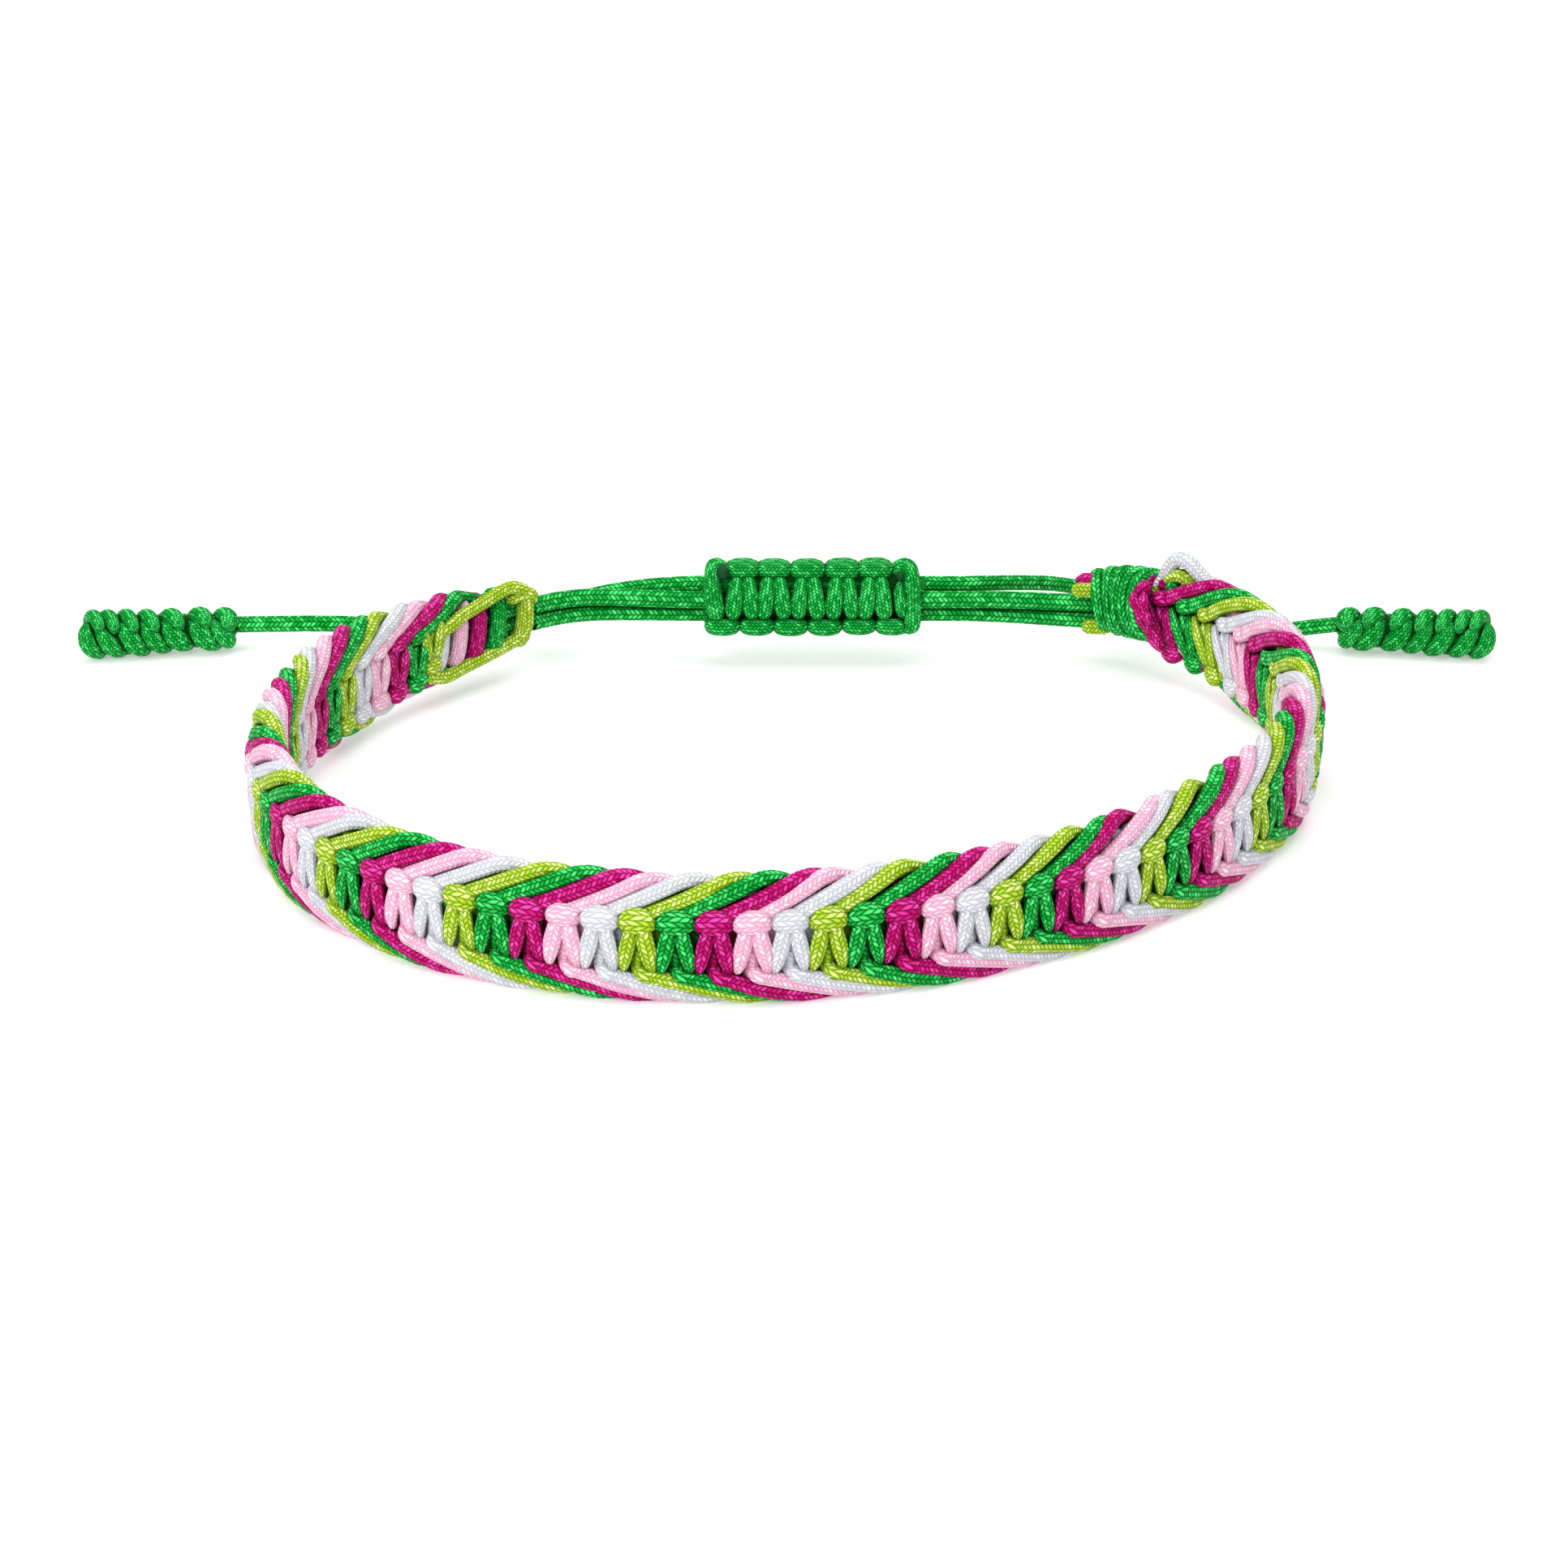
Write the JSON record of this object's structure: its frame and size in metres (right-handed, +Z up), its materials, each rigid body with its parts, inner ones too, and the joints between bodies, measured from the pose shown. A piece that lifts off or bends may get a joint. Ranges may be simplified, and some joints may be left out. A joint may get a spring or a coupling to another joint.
{
  "type": "friendship bracelet",
  "caption": "Knotted cord bracelet lying as a round loop, chevron pattern in five colours, adjustable sliding knot and two knotted tails.",
  "frame": {"origin": "middle of the base of the bracelet's box without its tails, on the surface that it lies on", "axes": "+Z up out of the loop, +X to the right along the straight closure, -Y towards the front of the band"},
  "size_m": [0.0912, 0.0669, 0.008],
  "materials": {
    "lime_cord": "silky braided nylon",
    "green_cord": "silky braided nylon",
    "magenta_cord": "silky braided nylon",
    "pink_cord": "silky braided nylon",
    "white_cord": "silky braided nylon"
  },
  "bodies": {
    "root": {"lime_strand": "lime_cord", "green_strand": "green_cord", "magenta_strand": "magenta_cord", "pink_strand": "pink_cord", "white_strand": "white_cord", "eye_loop": "lime_cord", "core": "green_cord", "end_wrap": "green_cord", "closure_cords": "green_cord", "slider_knot": "green_cord", "tail_left": "green_cord", "tail_right": "green_cord", "end_knot_left": "green_cord", "end_knot_right": "green_cord"}
  },
  "joints": []
}
